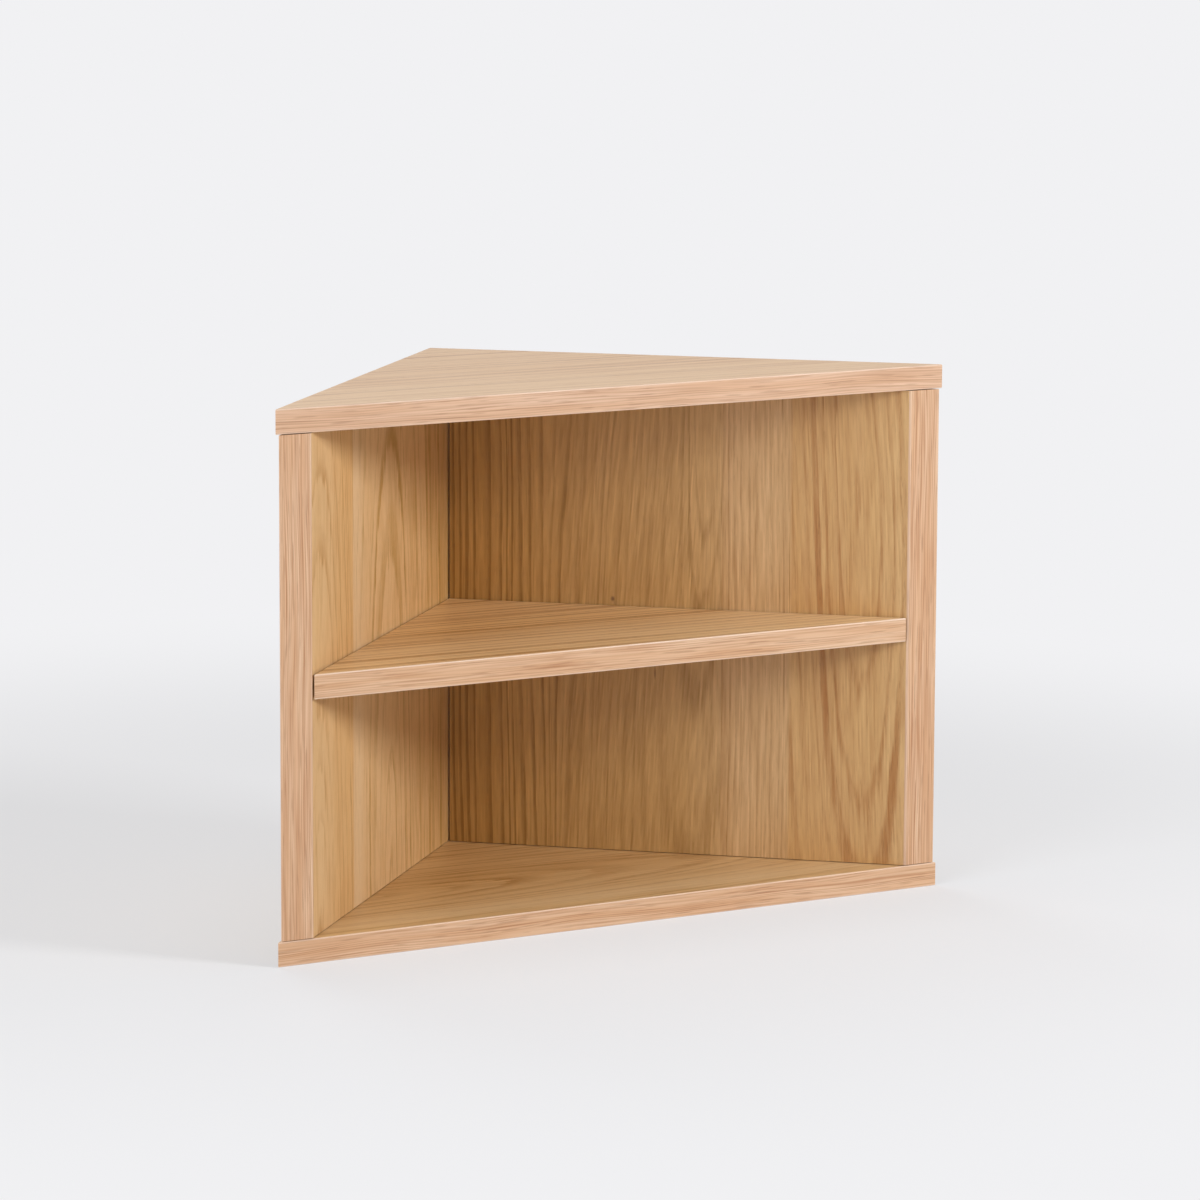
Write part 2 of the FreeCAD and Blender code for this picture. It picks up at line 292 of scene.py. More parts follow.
@dataclass(frozen=True)
class Drift:
    """A smooth random change over wood, in millimetres across and along the grain."""

    across: float
    along: float
    strength: float = 1.0
    seed: float = 0.0
    detail: float = 1.0

    def over(self, graph: Graph, across: Wire, along: Wire, seed: Term) -> Wire:
        """Spreads the change over a surface.

        Args:
            graph: the material's nodes.
            across: the distance across the grain.
            along: the distance along the grain.
            seed: what tells one surface from another.

        Returns:
            The change, from about minus its strength to its strength.
        """
        point = graph.point(across / self.across, along / self.along, seed + self.seed)
        return graph.noise(point, self.detail) * self.strength


@dataclass(frozen=True)
class Fibres:
    """Fibres that lie side by side, each of its own tone, which it keeps for a length."""

    length: float
    seed: float
    step: float = 7.7
    detail: float = 1.0
    roughness: float = 0.6

    def over(self, graph: Graph, across: Wire, width: float, along: Wire, seed: Term) -> Wire:
        """Lays the fibres over a surface.

        Args:
            graph: the material's nodes.
            across: the distance across the grain.
            width: a fibre's width.
            along: the distance along the grain.
            seed: what tells one surface from another.

        Returns:
            The tone, from about minus one to one.
        """
        lane = (across / width).whole() * self.step
        point = graph.point(lane, along / self.length, seed + self.seed)
        return graph.noise(point, self.detail, self.roughness)


class Finish(ABC):
    """A surface finish that becomes one Blender material."""

    def material(self, name: str) -> bpy.types.Material:
        """Makes the material.

        Args:
            name: the material's name.

        Returns:
            The new material.
        """
        made = bpy.data.materials.new(name)
        made.use_nodes = True
        self.paint(Graph(made.node_tree))
        return made

    @abstractmethod
    def paint(self, graph: Graph) -> None:
        """Adds the finish's nodes to an empty graph.

        Args:
            graph: the material's nodes.
        """


@dataclass(frozen=True)
class Grain:
    """The directions across and along a board's grain."""

    across: Direction
    along: Direction

    @classmethod
    def level(cls, turn: float = 0.0) -> "Grain":
        """Grain that lies flat and follows the diagonal front, turned from it by some degrees."""
        angle = math.radians(FRONT_ANGLE - turn)
        return cls((math.sin(angle), -math.cos(angle), 0.0), (math.cos(angle), math.sin(angle), 0.0))


UPRIGHT_LEFT = Grain((0.0, -1.0, 0.0), (0.0, 0.0, 1.0))
UPRIGHT_RIGHT = Grain((1.0, 0.0, 0.0), (0.0, 0.0, 1.0))
UPRIGHT_FRONT = Grain((DIAGONAL, DIAGONAL, 0.0), (0.0, 0.0, 1.0))
LEVEL_FRONT = Grain((0.0, 0.0, 1.0), (DIAGONAL, DIAGONAL, 0.0))
LEVEL = Grain.level()
SHELF_GRAIN = Grain.level(turn=2.5)


@dataclass(frozen=True)
class Leaf:
    """One sheet of sliced oak, in millimetres across and along the grain.

    The slice passes the tree's heart at a distance that changes along the grain, which draws the
    arches of the figure; they point to where the distance grows. The blush turns its dark wood reddish.
    """

    start: float
    crown: float
    heart: float
    rise: float
    ring: float
    blush: float = 0.0


@dataclass(frozen=True)
class Zone:
    """How a veneer looks at a distance across its grain, in millimetres.

    The contrast is that of the year rings, the depth darkens the wood, the warmth turns it amber, and
    the lean is how far the rings move across for each millimetre along.
    """

    across: float
    contrast: float
    depth: float
    warmth: float
    lean: float = 0.0


@dataclass(frozen=True)
class Mark:
    """A pin knot or a dark pore streak in a veneer, in millimetres."""

    across: float
    along: float
    width: float
    length: float
    depth: float


@dataclass(frozen=True)
class OakTones:
    """The colours of oak: its pale and dark wood, its warm cast and its pores."""

    pale: Colour
    dark: Colour
    warm: Colour
    pore: Colour


VENEER_TONES = OakTones(
    pale=(0.75, 0.50, 0.255), dark=(0.33, 0.168, 0.034),
    warm=(0.65, 0.385, 0.125), pore=(0.22, 0.10, 0.026))
TAN_TONES = OakTones(
    pale=(0.78, 0.515, 0.27), dark=(0.42, 0.208, 0.072),
    warm=(0.69, 0.40, 0.18), pore=(0.32, 0.15, 0.055))
PALE_TONES = OakTones(
    pale=(0.89, 0.65, 0.38), dark=(0.44, 0.222, 0.052),
    warm=(0.825, 0.53, 0.21), pore=(0.28, 0.135, 0.05))
HONEY_TONES = OakTones(
    pale=(0.78, 0.54, 0.305), dark=(0.42, 0.225, 0.045),
    warm=(0.73, 0.442, 0.185), pore=(0.30, 0.15, 0.04))
STRAW_TONES = OakTones(
    pale=(0.76, 0.54, 0.295), dark=(0.43, 0.24, 0.07),
    warm=(0.705, 0.452, 0.195), pore=(0.30, 0.155, 0.05))
BAND_TONES = OakTones(
    pale=(0.785, 0.535, 0.35), dark=(0.45, 0.196, 0.08),
    warm=(0.69, 0.405, 0.225), pore=(0.34, 0.155, 0.07))
PINK_TONES = OakTones(
    pale=(0.77, 0.52, 0.36), dark=(0.46, 0.235, 0.125),
    warm=(0.70, 0.43, 0.265), pore=(0.35, 0.165, 0.085))


# How the figure of a veneer varies
SWAY = Drift(70.0, 400.0, strength=3.5)
RIPPLE = Drift(13.0, 200.0, strength=0.7, seed=1.0)
CLOUD = Drift(11.0, 320.0, seed=5.0, detail=2.0)
PATCH = Drift(25.0, 150.0, seed=9.0)
DASH = Drift(0.5, 9.0, seed=17.0)
BROAD = Drift(26.0, 450.0, seed=21.0)
HAIR = Fibres(38.0, seed=11.0)
STRAND = Fibres(80.0, seed=13.0)

# How the streaks of a front band vary
BEND = Drift(60.0, 160.0, strength=1.6)
STREAK_CLOUD = Drift(6.0, 140.0, seed=1.0, detail=2.0)
STREAK_SPREAD = Drift(7.0, 150.0, strength=0.8, seed=3.0)
STREAK = Fibres(80.0, seed=2.0)
STREAK_PORE = Fibres(35.0, seed=4.0)
STREAK_BREAK = Fibres(120.0, seed=5.0)


@dataclass(frozen=True)
class Shares:
    """How much each part of the figure darkens the wood."""

    rings: float
    cloud: float
    hair: float
    strand: float = 0.0
    pores: float = 0.42


@dataclass(frozen=True)
class Lacquer:
    """A matt lacquer, rougher in the pores, under which the fibres can be felt."""

    roughness: float = 0.36
    in_pores: float = 0.12
    on_fibres: float = 0.0
    fibre_height: float = 0.3
    relief: float = 0.06
    strength: float = 0.35
    index: float = 1.5

    def coat(self, graph: Graph, colour: Wire, fibre: Wire, pores: Wire) -> None:
        """Lays the lacquer over the wood and makes it the material's surface.

        Args:
            graph: the material's nodes.
            colour: the wood's colour.
            fibre: the fibres' tone.
            pores: how deep a pore is.
        """
        sheen = pores * self.in_pores + fibre * self.on_fibres + self.roughness
        relief = graph.bump(fibre * self.fibre_height - pores, self.relief * MM, self.strength)
        shader = graph.node("ShaderNodeBsdfPrincipled", {}, {
            "Base Color": colour, "Roughness": sheen, "Normal": relief, "IOR": self.index})
        graph.surface(shader)


@dataclass(frozen=True)
class OakVeneer(Finish):
    """Leaves of sliced oak laid side by side, under a matt lacquer.

    Lengths are in millimetres. The middle is where the leaves' hearts are measured along the grain, the
    reach is how far the zones go across it, and the run stretches the figure along it. A strand is some
    fibres wide, and ragged is how far both fray an arch. Onset and line are the shares of a year ring at
    which its dark line is deepest and at which it ends.
    """

    grain: Grain
    leaves: tuple[Leaf, ...]
    zones: tuple[Zone, ...]
    seed: float
    middle: float
    marks: tuple[Mark, ...] = ()
    tones: OakTones = VENEER_TONES
    russet: Colour = (0.43, 0.168, 0.042)
    reach: float = 400.0
    steepest: float = 0.5
    banding: float = 0.05
    fibre: float = 1.25
    strand: float = 2.3
    run: float = 1.0
    ragged: float = 8.0
    onset: float = 0.14
    line: float = 0.55
    leaf_step: float = 7.3
    ring_patch: float = 19.0
    ring_detail: float = 2.0
    ring_change: float = 0.8
    ring_fray: float = 0.05
    cloud_warmth: float = 0.1
    years: Range = Range(0.4, 1.2)
    patches: Range = Range(-0.9, 0.9)
    patch_strength: Range = Range(0.6, 1.2)
    dashes: Range = Range(0.15, 0.8)
    pore_strength: Range = Range(0.3, 1.1)
    mark_edge: Range = Range(1.0, 0.2)
    shares: Shares = Shares(rings=0.62, cloud=0.055, hair=0.25, strand=0.07)
    lacquer: Lacquer = Lacquer(on_fibres=0.03)

    @staticmethod
    def _leafwise(masks: list[Wire], values: list[float]) -> Term:
        """Gives each leaf its own value.

        Args:
            masks: one for each joint, which is one on the far side of it.
            values: the leaves' values, in order.

        Returns:
            A value that changes at each joint between leaves.
        """
        total: Term = values[0]
        for mask, before, after in zip(masks, values, values[1:]):
            total = mask * (after - before) + total
        return total

    def _zonewise(self, graph: Graph, across: Wire) -> tuple[Wire, Wire, Wire, Wire]:
        """Blends the zones.

        Args:
            graph: the material's nodes.
            across: the distance across the grain.

        Returns:
            The contrast, depth, lean and warmth at each point.
        """
        stops = []
        for zone in self.zones:
            channels = (zone.contrast, zone.depth, zone.lean + self.steepest, zone.warmth)
            stops.append((zone.across / self.reach, channels))
        place = {"Fac": across / self.reach}
        ramp = graph.node("ShaderNodeValToRGB", {"stops": stops}, place)
        warmth = graph.node("ShaderNodeValToRGB", {"stops": stops}, place, "Alpha")
        contrast, depth, lean = (
            graph.node("ShaderNodeSeparateColor", {}, {"Color": ramp}, channel) for channel in range(3))
        return contrast, depth, lean - self.steepest, warmth

    def paint(self, graph: Graph) -> None:
        """Adds the year rings, fibres, pores and marks, and the lacquer.

        Args:
            graph: the material's nodes.
        """
        across = graph.along(self.grain.across)
        along = graph.along(self.grain.along) - self.middle
        flow = along / self.run
        masks = [across.above(leaf.start) for leaf in self.leaves[1:]]
        crown = self._leafwise(masks, [leaf.crown for leaf in self.leaves])
        heart = self._leafwise(masks, [leaf.heart for leaf in self.leaves])
        rise = self._leafwise(masks, [leaf.rise for leaf in self.leaves])
        ring = self._leafwise(masks, [leaf.ring for leaf in self.leaves])
        blush = self._leafwise(masks, [leaf.blush for leaf in self.leaves])
        seed = self._leafwise(masks, [self.seed + self.leaf_step * n for n in range(len(self.leaves))])
        contrast, depth, lean, warmth = self._zonewise(graph, across)

        sway = SWAY.over(graph, across, flow, seed)
        ripple = RIPPLE.over(graph, across, flow, seed)
        offset = across - crown - along * lean + sway + ripple
        hair = HAIR.over(graph, offset, self.fibre, flow, seed)
        strand = STRAND.over(graph, offset, self.fibre * self.strand, flow, seed)
        ragged = along + (hair + strand) * self.ragged
        slice_height = ragged * rise + heart
        radius = (offset * offset + slice_height * slice_height).root()
        spread = graph.noise(graph.point(radius / self.ring_patch, seed, 0.0), self.ring_detail)
        count = radius / ring + spread * self.ring_change + hair * self.ring_fray
        phase = count.fraction()
        year = graph.chance(count.whole() + seed)
        early = phase.ease(0.0, self.onset) * phase.ease(self.line, self.onset)
        patch = self.patches.rise(PATCH.over(graph, across, flow, seed))
        lines = (early * contrast * self.years.at(year) * self.patch_strength.at(patch)).at_most(1.0)

        cloud = CLOUD.over(graph, offset, flow, seed)
        broad = BROAD.over(graph, offset, flow, seed)
        dash = DASH.over(graph, across, along, seed)
        pores = self.dashes.rise(dash) * self.pore_strength.at(lines)

        figure = lines * self.shares.rings + cloud * self.shares.cloud + broad * self.banding
        tone = figure + strand * self.shares.strand + hair * self.shares.hair + depth
        colour = graph.mix(self.tones.pale, self.tones.warm, warmth + cloud * self.cloud_warmth)
        dark = graph.mix(self.tones.dark, self.russet, blush)
        colour = graph.mix(colour, dark, tone)
        colour = graph.mix(colour, self.tones.pore, pores * self.shares.pores)
        for mark in self.marks:
            x = (across - mark.across) / mark.width
            y = (along + self.middle - mark.along) / mark.length
            spot = self.mark_edge.rise((x * x + y * y).root())
            colour = graph.mix(colour, self.tones.pore, spot * mark.depth)
        self.lacquer.coat(graph, colour, hair, pores)


@dataclass(frozen=True)
class OakBand(Finish):
    """A strip of oak glued to a board's front edge, with long streaks of pores.

    Lengths are in millimetres. The edges are the strip's two sides across its grain, beside which a painted
    highlight of the rounded arrises makes it paler. Onset and line are the shares of a ring at which its
    streak is deepest and ends.
    """

    grain: Grain
    edges: tuple[float, float]
    seed: float
    ring: float = 1.8
    onset: float = 0.3
    line: float = 0.8
    fibre: float = 1.0
    pore: float = 0.9
    depth: float = 0.08
    # painted highlight on the arrises: its strength
    highlight_strength: float = 0.6
    tones: OakTones = BAND_TONES
    # the painted highlight's pale colour
    highlight_colour: Colour = (0.88, 0.70, 0.55)
    years: Range = Range(0.4, 1.0)
    breaks: Range = Range(-0.8, 0.2)
    pores: Range = Range(0.3, 0.9)
    warm_clouds: Range = Range(-1.0, 1.0)
    # how far the painted highlight reaches in from the edges, and how the fibres break it up
    arris: Range = Range(1.4, 0.3)
    highlight_breakup: Range = Range(0.75, 1.1)
    shares: Shares = Shares(rings=0.64, cloud=0.02, hair=0.38)
    lacquer: Lacquer = Lacquer()

    def paint(self, graph: Graph) -> None:
        """Adds the streaks, a painted highlight on the arrises and the lacquer.

        Args:
            graph: the material's nodes.
        """
        along = graph.along(self.grain.along)
        across = graph.along(self.grain.across)
        inside = (across - self.edges[0]).at_most(self.edges[1] - across)
        lane = across + BEND.over(graph, across, along, self.seed)
        cloud = STREAK_CLOUD.over(graph, lane, along, self.seed)
        fibre = STREAK.over(graph, lane, self.fibre, along, self.seed)
        count = lane / self.ring + STREAK_SPREAD.over(graph, lane, along, self.seed)
        phase = count.fraction()
        year = graph.chance(count.whole() + self.seed)
        lines = phase.ease(0.0, self.onset) * phase.ease(self.line, self.onset) * self.years.at(year)
        broken = self.breaks.rise(STREAK_BREAK.over(graph, lane, self.ring, along, self.seed))
        pores = self.pores.rise(STREAK_PORE.over(graph, lane, self.pore, along, self.seed))
        figure = lines * broken * self.shares.rings + fibre * self.shares.hair
        tone = figure + cloud * self.shares.cloud + self.depth
        colour = graph.mix(self.tones.pale, self.tones.warm, self.warm_clouds.rise(cloud))
        colour = graph.mix(colour, self.tones.dark, tone)
        colour = graph.mix(colour, self.tones.pore, pores * self.shares.pores)
        # painted highlight: the arrises are mixed towards a pale colour, as if light caught their rounding
        highlight = self.arris.rise(inside) * self.highlight_breakup.at(fibre) * self.highlight_strength
        colour = graph.mix(colour, self.highlight_colour, highlight)
        self.lacquer.coat(graph, colour, fibre, pores)


@dataclass(frozen=True)
class FibreCore(Finish):
    """Raw sawn fibreboard: felted fibres with a faint saw mark."""

    light: Colour = (0.38, 0.255, 0.15)
    dark: Colour = (0.22, 0.14, 0.078)
    roughness: float = 0.85
    felt_roughness: float = 0.04
    felt_size: Direction = (1.4, 1.4, 0.5)
    felt_detail: float = 3.0
    felt_grit: float = 0.65
    felt_share: float = 0.22
    speck_size: Direction = (0.5, 0.5, 0.35)
    speck_limits: Range = Range(0.5, 1.1)
    speck_share: float = 0.6
    saw_step: float = 1.8
    saw_length: float = 30.0
    saw_detail: float = 2.0
    saw_share: float = 0.10
    saw_height: float = 0.6
    base_share: float = 0.3
    relief: float = 0.12
    strength: float = 0.5

    def paint(self, graph: Graph) -> None:
        """Adds fibres, specks and saw marks.

        Args:
            graph: the material's nodes.
        """
        x, y, z = graph.axes()
        felt = graph.noise(graph.cells(self.felt_size), self.felt_detail, self.felt_grit)
        specks = self.speck_limits.rise(graph.noise(graph.cells(self.speck_size)))
        saw = graph.noise(graph.point((x + y) / self.saw_step, z / self.saw_length, 0.0), self.saw_detail)
        tone = felt * self.felt_share + saw * self.saw_share + self.base_share
        colour = graph.mix(self.light, self.dark, tone)
        colour = graph.mix(colour, self.dark, specks * self.speck_share)
        relief = graph.bump(felt + saw * self.saw_height, self.relief * MM, self.strength)
        sheen = felt * self.felt_roughness + self.roughness
        shader = graph.node("ShaderNodeBsdfPrincipled", {}, {
            "Base Color": colour, "Roughness": sheen, "Normal": relief})
        graph.surface(shader)


@dataclass(frozen=True)
class Beech(Finish):
    """Turned beech: pale pinkish wood with short dark flecks."""

    light: Colour = (0.66, 0.45, 0.28)
    fleck: Colour = (0.42, 0.24, 0.13)
    roughness: float = 0.62
    fleck_roughness: float = 0.1
    fleck_size: Direction = (0.5, 0.5, 2.4)
    fleck_limits: Range = Range(0.2, 0.9)
    fleck_share: float = 0.4
    fibre_size: Direction = (0.9, 0.9, 25.0)
    fibre_detail: float = 2.0
    fibre_share: float = 0.12
    base_share: float = 0.1
    relief: float = 0.05
    strength: float = 0.4

    def paint(self, graph: Graph) -> None:
        """Adds flecks and fibres along the upright grain.

        Args:
            graph: the material's nodes.
        """
        fleck = self.fleck_limits.rise(graph.noise(graph.cells(self.fleck_size)))
        fibre = graph.noise(graph.cells(self.fibre_size), self.fibre_detail)
        tone = fleck * self.fleck_share + fibre * self.fibre_share + self.base_share
        colour = graph.mix(self.light, self.fleck, tone)
        relief = graph.bump(fibre - fleck, self.relief * MM, self.strength)
        sheen = fleck * self.fleck_roughness + self.roughness
        shader = graph.node("ShaderNodeBsdfPrincipled", {}, {
            "Base Color": colour, "Roughness": sheen, "Normal": relief})
        graph.surface(shader)


@dataclass(frozen=True)
class Metal(Finish):
    """A zinc casting or a plated steel pressing, told apart by its grain and gloss."""

    bright: Colour
    dull: Colour
    roughness: float
    grain: float
    relief: float
    mottle: float = 4.0
    detail: float = 2.0
    mottle_share: float = 0.25
    pebble_share: float = 0.15
    base_share: float = 0.3
    scuff_size: Direction = (0.3, 3.0, 6.0)
    scuff_limits: Range = Range(0.5, 1.1)
    scuff_depth: float = 0.5
    mottle_roughness: float = 0.06
    pebble_roughness: float = 0.05
    scuff_roughness: float = 0.12
    strength: float = 0.5

    def paint(self, graph: Graph) -> None:
        """Adds the metal's mottling, its fine grain and scuffs.

        Args:
            graph: the material's nodes.
        """
        x, y, z = graph.axes()
        wide, long, deep = self.scuff_size
        mottle = graph.noise(graph.cells((self.mottle,) * len(AXES)), self.detail)
        pebble = graph.noise(graph.cells((self.grain,) * len(AXES)), self.detail)
        scuff = self.scuff_limits.rise(graph.noise(graph.point((x + z) / wide, (y - z) / long, z / deep)))
        tone = mottle * self.mottle_share + pebble * self.pebble_share + self.base_share
        colour = graph.mix(self.bright, self.dull, tone)
        grain = mottle * self.mottle_roughness + pebble * self.pebble_roughness
        shine = grain + scuff * self.scuff_roughness + self.roughness
        bump = graph.bump(pebble - scuff * self.scuff_depth, self.relief * MM, self.strength)
        shader = graph.node("ShaderNodeBsdfPrincipled", {}, {
            "Base Color": colour, "Roughness": shine, "Normal": bump, "Metallic": 1.0})
        graph.surface(shader)


CAST_ZINC = Metal((0.58, 0.58, 0.60), (0.40, 0.40, 0.42), roughness=0.42, grain=0.6, relief=0.05)
PLATED_STEEL = Metal((0.70, 0.70, 0.71), (0.55, 0.55, 0.57), roughness=0.28, grain=0.25, relief=0.015)


def dress(node: str, finish: Finish) -> None:
    """Gives a CAD node a finish.

    Args:
        node: the node's name.
        finish: the finish that goes into its material slots.
    """
    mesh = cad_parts[node].data
    material = finish.material(node)
    mesh.materials.clear()
    mesh.materials.append(material)
    LOG.info("dressed %s in %s", node, type(finish).__name__)


class Side(Enum):
    """The two side boards."""

    LEFT = "left"
    RIGHT = "right"


@dataclass(frozen=True)
class FlatBoard:
    """A triangular board: a core between two veneers, with a front band."""

    name: str
    upper: OakVeneer
    lower: OakVeneer
    band: OakBand

    def dress(self) -> None:
        """Dresses the board's four pieces."""
        dress(f"{self.name}_upper_veneer", self.upper)
        dress(f"{self.name}_lower_veneer", self.lower)
        dress(f"{self.name}_front_band", self.band)
        dress(f"{self.name}_core", FibreCore())


@dataclass(frozen=True)
class SideBoard:
    """An upright board on a wall: a core between two veneers, with a front band."""

    side: Side
    inner: OakVeneer
    outer: OakVeneer
    band: OakBand

    def dress(self) -> None:
        """Dresses the board's four pieces."""
        name = f"{self.side.value}_side"
        dress(f"{name}_inner_veneer", self.inner)
        dress(f"{name}_outer_veneer", self.outer)
        dress(f"{name}_front_band", self.band)
        dress(f"{name}_core", FibreCore())


class Fittings:
    """The cams, bolts, dowels, pegs, hanger plates and screws."""

    def dress(self) -> None:
        """Dresses each fitting by the kind of piece that it is."""
        for node in sorted(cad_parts):
            if node.startswith(("cam_left", "cam_right")):
                dress(node, CAST_ZINC)
            elif node.startswith("hanger") or node in ("cam_bolts", "shelf_pegs"):
                dress(node, PLATED_STEEL)
            elif node == "dowels":
                dress(node, Beech())


@dataclass(frozen=True)
class PaleFloor(Finish):
    """A matt floor that melts into the pale background away from the object."""

    colour: Colour
    near: float
    far: float
    glow: float = 0.5

    def paint(self, graph: Graph) -> None:
        """Adds the matt floor and, more and more with distance, the plain background that is seen.

        Args:
            graph: the material's nodes.
        """
        x, y, _ = graph.axes()
        distance = (x * x + y * y).root() * MM
        seen = sight(graph)
        matt = graph.node("ShaderNodeBsdfDiffuse", {}, {"Color": self.colour})
        plain = graph.node("ShaderNodeEmission", {}, {"Color": self.colour})
        share = (distance.ease(self.near, self.far) * (1.0 - self.glow) + self.glow) * seen
        graph.surface(graph.node("ShaderNodeMixShader", {}, {0: share, 1: matt, 2: plain}))


def sight(graph: Graph) -> Wire:
    """Tells the rays that see the background from those that light the object.

    Args:
        graph: the nodes of a material or of the world.

    Returns:
        One for the rays that see it straight, in gloss or through glass, and zero for the others.
    """
    seen: Term = 0.0
    for kind in ("Is Camera Ray", "Is Glossy Ray", "Is Transmission Ray"):
        ray = graph.node("ShaderNodeLightPath", {}, {}, kind)
        seen = ray.at_least(seen)
    return seen


@dataclass(frozen=True)
class Softbox:
    """A soft square lamp that faces the shelf."""

    name: str
    place: Direction
    width: float
    power: float

    def build(self, target: Vector) -> None:
        """Makes the lamp.

        Args:
            target: the point that the lamp faces.
        """
        light = bpy.data.lights.new(self.name, "AREA")
        light.shape = "SQUARE"
        light.size = self.width
        light.energy = self.power
        lamp = bpy.data.objects.new(self.name, light)
        lamp.location = self.place
        lamp.rotation_euler = (target - Vector(self.place)).to_track_quat("-Z", "Y").to_euler()
        bpy.context.scene.collection.objects.link(lamp)
        LOG.info("lit %s", self.name)


@dataclass(frozen=True)
class Studio:
    """The pale floor, the background, the lamps and the camera."""

    background: Colour = (0.88, 0.88, 0.896)
    ambient: float = 0.18
    floor_size: float = 40.0
    floor_near: float = 0.4
    floor_far: float = 1.2
    lamps: tuple[Softbox, ...] = (
        Softbox("key", (2.449, -0.597, 1.217), width=0.6, power=36.0),
        Softbox("fill", (-0.593, -2.378, 1.137), width=1.4, power=22.0),
        Softbox("top", (0.15, -0.15, 2.8), width=1.4, power=17.0),
        Softbox("rear", (-1.7, 1.7, 1.3), width=1.4, power=18.0),
    )
    camera_place: Direction = (1.15308, -4.10072, 0.88204)
    azimuth: float = 13.936
    elevation: float = 9.047
    roll: float = 0.234
    lens: float = 166.94
    sensor: float = 36.0

    def build(self) -> None:
        """Builds the stage round the shelf."""
        low, high = CAD_BOX
        self._build_floor(low.z)
        self._build_world()
        for lamp in self.lamps:
            lamp.build((low + high) / 2)
        self._build_camera()
        bpy.context.scene.view_settings.view_transform = "Standard"

    def _build_floor(self, height: float) -> None:
        """Makes the floor under the shelf.

        Args:
            height: the level of the floor.
        """
        mesh = bpy.data.meshes.new("floor")
        shape = bmesh.new()
        bmesh.ops.create_grid(shape, x_segments=1, y_segments=1, size=self.floor_size / 2)
        bmesh.ops.translate(shape, verts=shape.verts, vec=(0.0, 0.0, height))
        shape.to_mesh(mesh)
        shape.free()
        finish = PaleFloor(self.background, self.floor_near, self.floor_far)
        mesh.materials.append(finish.material("floor"))
        floor = bpy.data.objects.new("floor", mesh)
        bpy.context.scene.collection.objects.link(floor)
        LOG.info("laid the floor")

    def _build_world(self) -> None:
        """Makes the soft light from all round and the plain background."""
        world = bpy.data.worlds.new("studio")
        bpy.context.scene.world = world
        world.use_nodes = True
        graph = Graph(world.node_tree)
        white: Colour = (1.0, 1.0, 1.0)
        glow = graph.node("ShaderNodeBackground", {}, {"Color": white, "Strength": self.ambient})
        plain = graph.node("ShaderNodeBackground", {}, {"Color": self.background, "Strength": 1.0})
        shader = graph.node("ShaderNodeMixShader", {}, {0: sight(graph), 1: glow, 2: plain})
        graph.node("ShaderNodeOutputWorld", {}, {"Surface": shader})

    def _build_camera(self) -> None:
        """Makes the camera at the photograph's view."""
        data = bpy.data.cameras.new("camera")
        data.lens = self.lens
        data.sensor_width = self.sensor
        camera = bpy.data.objects.new("camera", data)
        turn = Matrix.Rotation(math.radians(self.azimuth), 4, "Z")
        tilt = Matrix.Rotation(math.pi / 2 - math.radians(self.elevation), 4, "X")
        spin = Matrix.Rotation(math.radians(self.roll), 4, "Z")
        camera.matrix_world = Matrix.Translation(self.camera_place) @ turn @ tilt @ spin
        bpy.context.scene.collection.objects.link(camera)
        bpy.context.scene.camera = camera


# A leaf is its start, crown, heart, rise, ring and blush
# A zone is its place across, contrast, depth, warmth and lean
# A mark is its place across and along, width, length and depth
# The zones nearest the corner are darker and warmer: partly the leaf's own dark stripes, partly painted
# shade of the corner
RIGHT_INNER = OakVeneer(UPRIGHT_RIGHT, (
    Leaf(0.0, 219.0, 22.0, -0.075, 7.0),
    Leaf(236.0, -60.0, 60.0, 0.03, 5.2, 0.3),
    Leaf(289.0, 345.0, -11.5, 0.115, 10.5, 0.7),
), (
    Zone(20.0, 2.2, 0.38, 1.0),
    Zone(95.0, 1.6, 0.28, 0.90),
    Zone(115.0, 0.45, 0.36, 0.80, 0.06),
    Zone(160.0, 0.38, 0.38, 0.80, 0.08),
    Zone(205.0, 0.45, 0.36, 0.72, 0.06),
    Zone(232.0, 0.45, 0.34, 0.45, 0.02),
    Zone(240.0, 0.50, 0.30, 0.15),
    Zone(288.0, 0.50, 0.25, 0.05),
    Zone(290.0, 0.90, 0.29, 0.64, -0.04),
    Zone(335.0, 0.72, 0.29, 0.56, -0.04),
    Zone(368.0, 0.80, 0.24, 0.50, -0.04),
    Zone(380.0, 0.5, 0.14, 0.40, -0.04),
), seed=3.0, middle=HEIGHT / 2, marks=(
    Mark(150.5, 214.0, 2.2, 2.8, 1.0),
    Mark(184.0, 158.0, 1.1, 7.0, 0.8),
))
# Its zones darken the wood more and more towards the corner: painted shade of the corner over the veneer's
# own tone
LEFT_INNER = OakVeneer(UPRIGHT_LEFT, (
    Leaf(0.0, 180.0, 30.0, 0.16, 13.0),
    Leaf(277.0, 360.0, 34.0, 0.15, 9.0, 0.6),
), (
    Zone(20.0, 1.1, 0.42, 0.95),
    Zone(50.0, 1.1, 0.27, 0.85),
    Zone(100.0, 1.0, 0.11, 0.65),
    Zone(180.0, 1.1, 0.08, 0.47),
    Zone(245.0, 0.9, -0.04, 0.40),
    Zone(262.0, 0.35, -0.12, 0.0),
    Zone(276.0, 0.35, -0.12, 0.0),
    Zone(278.0, 0.8, 0.10, 0.85),
    Zone(315.0, 0.8, 0.06, 0.75),
    Zone(335.0, 0.8, 0.0, 0.50),
    Zone(380.0, 0.8, 0.0, 0.45),
), seed=21.0, middle=HEIGHT / 2, tones=HONEY_TONES, banding=0.12, fibre=2.6, ragged=4.0, line=0.5)
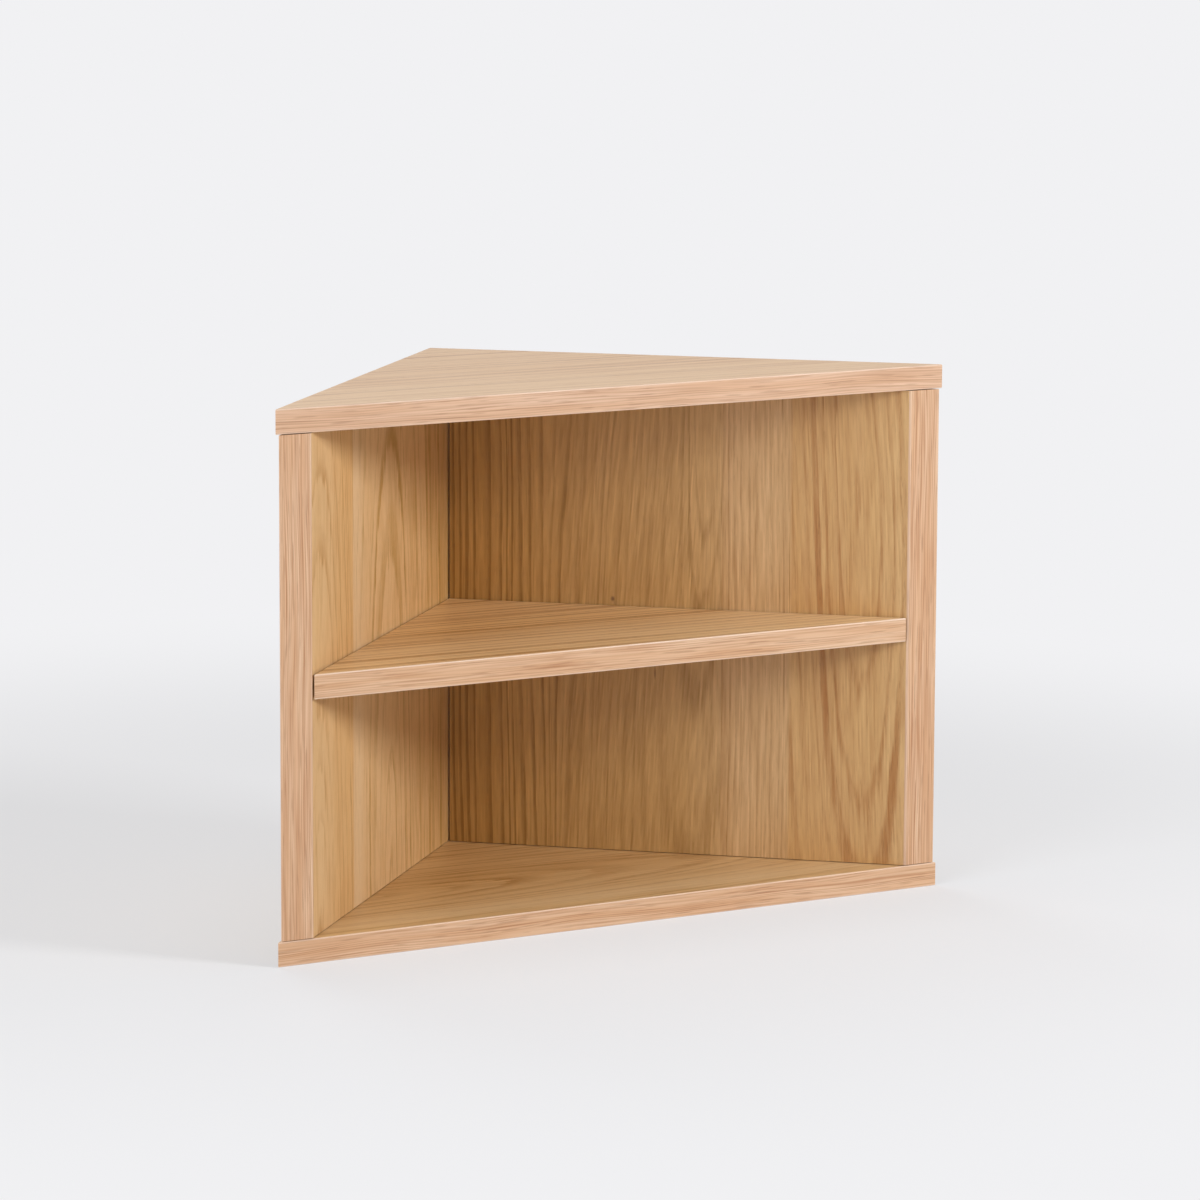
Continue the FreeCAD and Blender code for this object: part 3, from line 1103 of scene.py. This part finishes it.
SHELF_UPPER = OakVeneer(SHELF_GRAIN, (Leaf(-50.0, -140.0, 60.0, 0.05, 11.0, 0.4),), (
    Zone(0.0, 0.9, -0.18, 0.50),
    Zone(125.0, 1.0, -0.18, 0.36),
    Zone(155.0, 1.7, -0.09, 0.55),
    Zone(185.0, 1.5, -0.10, 0.40),
    Zone(215.0, 0.9, -0.09, 0.20),
    Zone(283.0, 1.3, -0.06, 0.25),
), seed=52.0, middle=0.0, tones=PALE_TONES, banding=0.2, fibre=2.0, run=3.0, ragged=3.0, line=0.85)
BOTTOM_UPPER = OakVeneer(LEVEL, (Leaf(-50.0, 181.0, 30.0, 0.14, 9.0, 0.3),), (
    Zone(0.0, 0.8, 0.15, 0.75),
    Zone(120.0, 1.0, 0.17, 0.78),
    Zone(160.0, 1.4, 0.24, 0.95),
    Zone(195.0, 1.4, 0.09, 0.70),
    Zone(235.0, 1.0, -0.02, 0.45),
    Zone(256.0, 0.40, -0.08, 0.10),
    Zone(266.0, 0.40, -0.08, 0.10),
    Zone(272.0, 0.90, -0.02, 0.55),
), seed=62.0, middle=0.0, tones=STRAW_TONES, banding=0.14, fibre=2.0, run=2.5, ragged=4.0)
TOP_UPPER = OakVeneer(LEVEL, (Leaf(-50.0, 420.0, 50.0, 0.06, 13.0, 0.5),), (
    Zone(0.0, 0.90, 0.03, 0.30),
    Zone(100.0, 1.1, 0.06, 0.40),
    Zone(185.0, 1.3, 0.09, 0.50),
    Zone(215.0, 0.55, 0.02, 0.25),
    Zone(283.0, 0.50, 0.0, 0.25),
), seed=42.0, middle=0.0, tones=TAN_TONES, banding=0.12, fibre=2.0, run=2.5, ragged=4.0)
PLAIN_LEAVES = (Leaf(-50.0, -60.0, 20.0, 0.05, 8.0), Leaf(170.0, 380.0, 25.0, 0.06, 9.0))
PLAIN_ZONES = (Zone(0.0, 0.5, 0.10, 0.5), Zone(120.0, 0.35, 0.08, 0.45), Zone(400.0, 0.5, 0.12, 0.5))


def plain_veneer(grain: Grain, seed: float, middle: float = 0.0) -> OakVeneer:
    """Veneer of a face that is turned away from the room."""
    return OakVeneer(grain, PLAIN_LEAVES, PLAIN_ZONES, seed, middle)


def build_boards() -> list[FlatBoard | SideBoard]:
    """Lists the boards.

    Returns:
        The five boards with the veneer of each face and the band of each front.
    """
    return [
        FlatBoard("top_board", TOP_UPPER, plain_veneer(SHELF_GRAIN, seed=43.0),
                  OakBand(LEVEL_FRONT, (HEIGHT - BOARD, HEIGHT), seed=70.0, tones=PINK_TONES)),
        # the shelf's band has the strongest painted highlight on its arrises, the side bands a weak one
        FlatBoard("shelf", SHELF_UPPER, plain_veneer(SHELF_GRAIN, seed=53.0),
                  OakBand(LEVEL_FRONT, ((HEIGHT - BOARD) / 2, (HEIGHT + BOARD) / 2), seed=71.0, highlight_strength=0.85)),
        FlatBoard("bottom_board", BOTTOM_UPPER, plain_veneer(SHELF_GRAIN, seed=63.0),
                  OakBand(LEVEL_FRONT, (0.0, BOARD), seed=72.0)),
        SideBoard(Side.LEFT, LEFT_INNER, plain_veneer(UPRIGHT_LEFT, seed=81.0, middle=HEIGHT / 2),
                  OakBand(UPRIGHT_FRONT, (-SIDE_OUTER, -SIDE_INNER), seed=90.0, depth=0.2, highlight_strength=0.3)),
        SideBoard(Side.RIGHT, RIGHT_INNER, plain_veneer(UPRIGHT_RIGHT, seed=82.0, middle=HEIGHT / 2),
                  OakBand(UPRIGHT_FRONT, (SIDE_INNER, SIDE_OUTER), seed=95.0, depth=0.2, highlight_strength=0.3)),
    ]


def main() -> None:
    """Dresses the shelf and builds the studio."""
    logging.basicConfig(level=logging.INFO, format="%(name)s: %(message)s")
    for board in build_boards():
        board.dress()
    Fittings().dress()
    Studio().build()


if __name__ == "__main__":
    main()
